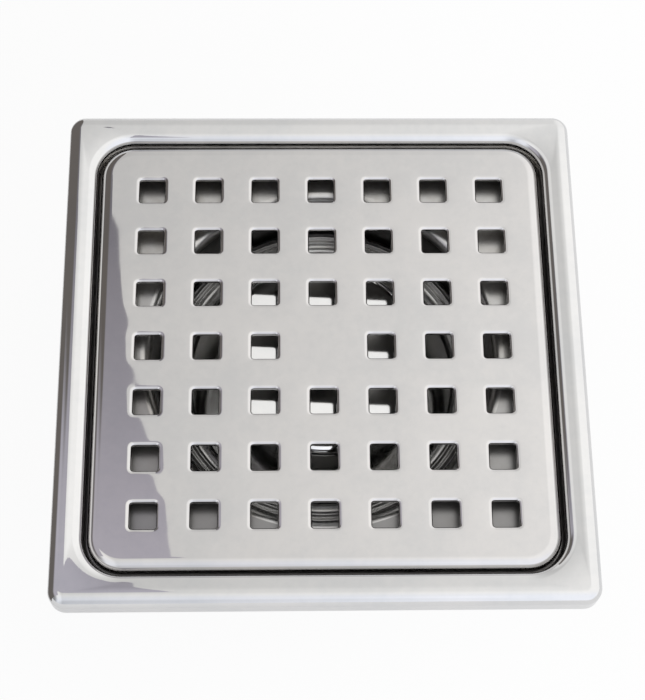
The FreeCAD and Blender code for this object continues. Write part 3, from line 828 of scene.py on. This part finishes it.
def make_haze_group():
    """Handling haze: broad soft patches broken up by finer ones."""
    group, given, result = new_group("handling_haze", {"Patches a metre": HAZE_SCALE}, ["Haze"])
    nodes, links = group.nodes, group.links
    broad = object_noise(nodes, links, given.outputs["Patches a metre"], HAZE_DETAIL)
    fine = object_noise(nodes, links, HAZE_FINE_SCALE, HAZE_DETAIL)
    faint = math_node(nodes, links, "MULTIPLY", fine, HAZE_FINE_SHARE)
    mixed = math_node(nodes, links, "ADD", broad, faint)
    links.new(range_node(nodes, links, mixed, *HAZE_RANGE, smooth=True), result.inputs["Haze"])
    return group


def make_ripple_group():
    """Slow waves that pressing and polishing leave in a sheet."""
    group, given, result = new_group("sheet_ripple", {"Waves a metre": SHEET_RIPPLE_SCALE}, ["Height"])
    nodes, links = group.nodes, group.links
    waves = object_noise(nodes, links, given.outputs["Waves a metre"], RIPPLE_DETAIL)
    links.new(waves, result.inputs["Height"])
    return group


SCRATCHES = make_scratch_group()
HAZE = make_haze_group()
RIPPLE = make_ripple_group()


def place_group(nodes, group, **values):
    """A group's node with some of its inputs set."""
    node = nodes.new("ShaderNodeGroup")
    node.node_tree = group
    for label, number in values.items():
        node.inputs[label.replace("_", " ")].default_value = number
    return node


def steel(name, color, roughness, ripple_depth, waves):
    """Stainless steel: polished or, as its dullness attribute rises, as it was rolled and then darkened by
    painted shade.

    Haze dulls it in patches and shades its colour, scratches catch light, and slow ripples bend its
    reflections.
    """
    material, nodes, links, shader = new_material(name)
    shader.inputs["Metallic"].default_value = 1.0
    haze = place_group(nodes, HAZE).outputs["Haze"]
    scratch = place_group(nodes, SCRATCHES).outputs["Scratch"]
    height = place_group(nodes, RIPPLE, Waves_a_metre=waves).outputs["Height"]
    attribute = nodes.new("ShaderNodeAttribute")
    attribute.attribute_name = "dull_and_shade"
    dull_and_shade = attribute.outputs["Fac"]

    polished_tint = mix_colors(nodes, links, haze, color, shade(color, HAZED_SHADE))
    rolled_tint = mix_colors(nodes, links, haze, shade(color, ROLLED_SHADE), ROLLED_STAIN)
    rolled_share = range_node(nodes, links, dull_and_shade, POLISHED, ROLLED)
    # Past rolled, the colour turns towards the painted shade grey; roughness stays at rolled
    shade_share = range_node(nodes, links, dull_and_shade, ROLLED, FULL_SHADE)
    unshaded_tint = mix_colors(nodes, links, rolled_share, polished_tint, rolled_tint)
    links.new(mix_colors(nodes, links, shade_share, unshaded_tint, SHADE_GREY), shader.inputs["Base Color"])

    dulled = math_node(nodes, links, "MULTIPLY_ADD", haze, HAZE_ROUGHNESS, roughness)
    marked = math_node(nodes, links, "MULTIPLY_ADD", scratch, SCRATCH_ROUGHNESS, dulled)
    rolled = math_node(nodes, links, "MULTIPLY_ADD", haze, HAZE_ROUGHNESS, ROLLED_ROUGHNESS)
    finish = range_node(nodes, links, dull_and_shade, POLISHED, ROLLED, marked, rolled)
    links.new(finish, shader.inputs["Roughness"])

    ripple = nodes.new("ShaderNodeBump")
    ripple.inputs["Strength"].default_value = 1.0
    ripple.inputs["Distance"].default_value = ripple_depth
    links.new(height, ripple.inputs["Height"])
    links.new(ripple.outputs["Normal"], shader.inputs["Normal"])
    return material


def shade(color, factors):
    """A colour with each channel times its factor."""
    return tuple(channel * factor for channel, factor in zip(color, factors))


def mix_colors(nodes, links, factor, first, second):
    """A mix of two colours, each given as numbers or as a socket."""
    node = nodes.new("ShaderNodeMix")
    node.data_type = "RGBA"
    links.new(factor, node.inputs["Factor"])
    feed(links, first, node.inputs["A"])
    feed(links, second, node.inputs["B"])
    return node.outputs["Result"]


def scaled_color(nodes, links, color, level):
    """A colour, given as numbers or as a socket, times a level."""
    node = nodes.new("ShaderNodeVectorMath")
    node.operation = "SCALE"
    feed(links, color, node.inputs[0])
    links.new(level, node.inputs["Scale"])
    return node.outputs["Vector"]


def rubber(name, color):
    """Black rubber with a faint bloom."""
    material, nodes, links, shader = new_material(name)
    haze = place_group(nodes, HAZE, Patches_a_metre=RUBBER_BLOOM_SCALE).outputs["Haze"]
    tint = mix_colors(nodes, links, haze, color, shade(color, RUBBER_BLOOM))
    links.new(tint, shader.inputs["Base Color"])
    roughness = range_node(nodes, links, haze, 0, 1, *RUBBER_ROUGHNESS)
    links.new(roughness, shader.inputs["Roughness"])
    return material


# Studio

def make_floor():
    """A wide white floor under the spigot that looks white and still takes some of the shadow.

    In the steel it is less white, as a real floor is.
    """
    reach = FLOOR_REACH
    mesh = bpy.data.meshes.new("floor")
    corners = [(-reach, -reach, 0), (reach, -reach, 0), (reach, reach, 0), (-reach, reach, 0)]
    mesh.from_pydata(corners, [], [(0, 1, 2, 3)])
    floor = bpy.data.objects.new("floor", mesh)
    bpy.context.scene.collection.objects.link(floor)
    material, nodes, links, shader = new_material("white_floor")
    shader.inputs["Base Color"].default_value = (*FLOOR_COLOR, 1)
    shader.inputs["Roughness"].default_value = FLOOR_ROUGHNESS
    glow = nodes.new("ShaderNodeEmission")
    glow.inputs["Color"].default_value = (1, 1, 1, 1)
    mix = nodes.new("ShaderNodeMixShader")
    path = nodes.new("ShaderNodeLightPath").outputs
    straight = math_node(nodes, links, "MAXIMUM", path["Is Camera Ray"], path["Is Transmission Ray"])
    seen = math_node(nodes, links, "MULTIPLY", straight, FLOOR_GLOW)
    mirrored = math_node(nodes, links, "MULTIPLY", path["Is Glossy Ray"], FLOOR_MIRRORED_GLOW)
    links.new(math_node(nodes, links, "MAXIMUM", seen, mirrored), mix.inputs["Fac"])
    links.new(shader.outputs["BSDF"], mix.inputs[1])
    links.new(glow.outputs["Emission"], mix.inputs[2])
    links.new(mix.outputs["Shader"], nodes["Material Output"].inputs["Surface"])
    mesh.materials.append(material)


def make_screen():
    """A dim screen at the left: a sheet over the drain, and a wall from its far side down to the floor.

    The sheet's free edge is at x = a * y^2 + b * y + c until the curve turns back, and straight from
    there. A quarter circle takes it into the front end. It glows faintly, less towards the back, and it
    is dark near the floor and at the far left behind. The camera does not see it.
    """
    over = np.linspace(0, 1, SCREEN_OVER_POINTS)
    down = np.linspace(0, 1, SCREEN_DOWN_POINTS)[1:]
    to_wall = np.concatenate([over, np.ones_like(down)])
    to_floor = np.concatenate([np.zeros_like(over), down])
    front = np.where(to_wall < 1, SCREEN_FRONT, SCREEN_WALL_FRONT)
    along = np.linspace(0, 1, SCREEN_ALONG_POINTS)[:, None] ** 2
    rear = np.interp(to_wall, *SCREEN_REAR)
    y = front + along * (rear - front)
    bend, slope, _ = SCREEN_EDGE
    edge = np.polyval(SCREEN_EDGE, np.minimum(y, -slope / 2 / bend))
    inset = np.clip(SCREEN_CORNER - (y - SCREEN_FRONT), 0, SCREEN_CORNER)
    edge -= SCREEN_CORNER - np.sqrt(SCREEN_CORNER ** 2 - inset ** 2)
    x = edge + to_wall * (SCREEN_WALL - edge)
    z = np.broadcast_to((GRATING_Z + SCREEN_RISE) * (1 - to_floor), y.shape)

    points = np.stack([x, y, z], axis=-1).reshape(-1, 3)
    mesh = bpy.data.meshes.new("dim_screen")
    mesh.from_pydata(points.tolist(), [], patch_faces(*y.shape).tolist())
    screen = bpy.data.objects.new("dim_screen", mesh)
    bpy.context.scene.collection.objects.link(screen)
    screen.visible_camera = False

    material, nodes, links, shader = new_material("dim_screen")
    nodes.remove(shader)
    place = nodes.new("ShaderNodeTexCoord")
    axes = nodes.new("ShaderNodeSeparateXYZ")
    links.new(place.outputs["Object"], axes.inputs["Vector"])
    level = range_node(nodes, links, axes.outputs["Y"], *SCREEN_FALL)
    dim = scaled_color(nodes, links, SCREEN_TINT, level)
    low = range_node(nodes, links, axes.outputs["Z"], *SCREEN_LOW_REACH, smooth=True)
    left = range_node(nodes, links, axes.outputs["X"], *SCREEN_FAR_REACH, smooth=True)
    behind = range_node(nodes, links, axes.outputs["Y"], *SCREEN_FAR_FRONT, smooth=True)
    far = math_node(nodes, links, "MULTIPLY", left, behind)
    dark = math_node(nodes, links, "MAXIMUM", low, far)
    glow = nodes.new("ShaderNodeEmission")
    links.new(mix_colors(nodes, links, dark, dim, SCREEN_DARK), glow.inputs["Color"])
    links.new(glow.outputs["Emission"], nodes["Material Output"].inputs["Surface"])
    mesh.materials.append(material)


def make_surroundings():
    """White studio all round, given by direction: an even level, with a gain or loss towards a few sides.

    It stays under a peak. The camera itself sees plain white.
    """
    world = bpy.data.worlds.new("studio")
    bpy.context.scene.world = world
    world.use_nodes = True
    nodes, links = world.node_tree.nodes, world.node_tree.links
    place = nodes.new("ShaderNodeTexCoord")
    axes = nodes.new("ShaderNodeSeparateXYZ")
    links.new(place.outputs["Generated"], axes.inputs["Vector"])
    x, y, z = axes.outputs["X"], axes.outputs["Y"], axes.outputs["Z"]

    def along(across, back, up):
        upward = math_node(nodes, links, "MULTIPLY", z, up)
        upright = math_node(nodes, links, "MULTIPLY_ADD", y, back, upward)
        return math_node(nodes, links, "MULTIPLY_ADD", x, across, upright)

    level = STUDIO_LEVEL
    for side, near, far, gain in STUDIO_GAINS:
        share = range_node(nodes, links, along(*side), near, far, 0.0, gain, smooth=True)
        level = math_node(nodes, links, "ADD", share, level)
    level = math_node(nodes, links, "MINIMUM", level, STUDIO_PEAK)
    front = range_node(nodes, links, along(*STUDIO_COOL_SIDE), *STUDIO_COOL_REACH, smooth=True)

    studio_tint = mix_colors(nodes, links, front, STUDIO_TINT, STUDIO_COOL_TINT)
    lit = nodes["Background"]
    links.new(scaled_color(nodes, links, studio_tint, level), lit.inputs["Color"])
    seen = nodes.new("ShaderNodeBackground")
    seen.inputs["Color"].default_value = (1, 1, 1, 1)
    path = nodes.new("ShaderNodeLightPath")
    mix = nodes.new("ShaderNodeMixShader")
    links.new(path.outputs["Is Camera Ray"], mix.inputs["Fac"])
    links.new(lit.outputs["Background"], mix.inputs[1])
    links.new(seen.outputs["Background"], mix.inputs[2])
    links.new(mix.outputs["Shader"], nodes["World Output"].inputs["Surface"])


def make_camera():
    """The photograph's camera: turned about the grating's top centre, rolled, and moved by an offset."""
    azimuth, elevation, roll = CAMERA_AZIMUTH, CAMERA_ELEVATION, CAMERA_ROLL
    back = Vector((
        math.sin(azimuth) * math.cos(elevation),
        -math.cos(azimuth) * math.cos(elevation),
        math.sin(elevation),
    ))
    level = Vector((math.cos(azimuth), math.sin(azimuth), 0))
    upright = back.cross(level)
    right = level * math.cos(roll) + upright * math.sin(roll)
    up = upright * math.cos(roll) - level * math.sin(roll)
    centre = Vector((0, 0, GRATING_Z))
    place = centre - right * CAMERA_OFFSET[0] - up * CAMERA_OFFSET[1] + back * CAMERA_DISTANCE

    data = bpy.data.cameras.new("camera")
    data.lens = CAMERA_LENS
    data.sensor_width = CAMERA_SENSOR
    data.clip_start = CAMERA_NEAR
    camera = bpy.data.objects.new("camera", data)
    camera.matrix_world = Matrix((
        (right.x, up.x, back.x, place.x),
        (right.y, up.y, back.y, place.y),
        (right.z, up.z, back.z, place.z),
        (0, 0, 0, 1),
    ))
    bpy.context.scene.collection.objects.link(camera)
    bpy.context.scene.camera = camera


make_camera()
make_floor()
make_screen()
make_surroundings()
bpy.context.scene.view_settings.view_transform = "Standard"

frame_ripple = (FRAME_RIPPLE_DEPTH, FRAME_RIPPLE_SCALE)
sheet_ripple = (SHEET_RIPPLE_DEPTH, SHEET_RIPPLE_SCALE)
frame_steel = steel("polished_frame_steel", FRAME_COLOR, POLISHED_ROUGHNESS, *frame_ripple)
grating_steel = steel("polished_grating_steel", PLATE_COLOR, POLISHED_ROUGHNESS, *sheet_ripple)
trap_steel = steel("drawn_trap_steel", TRAP_COLOR, TRAP_ROUGHNESS, *sheet_ripple)
seal_rubber = rubber("seal_rubber", RUBBER_BLACK)

make_frame(frame_steel)
make_grating(grating_steel)
make_trap_cup(trap_steel)
make_bell(trap_steel)
make_spigot(frame_steel)
for node, material in (("standpipe", trap_steel), ("cup_seal", seal_rubber)):
    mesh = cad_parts[node].data
    mesh.materials.clear()
    mesh.materials.append(material)
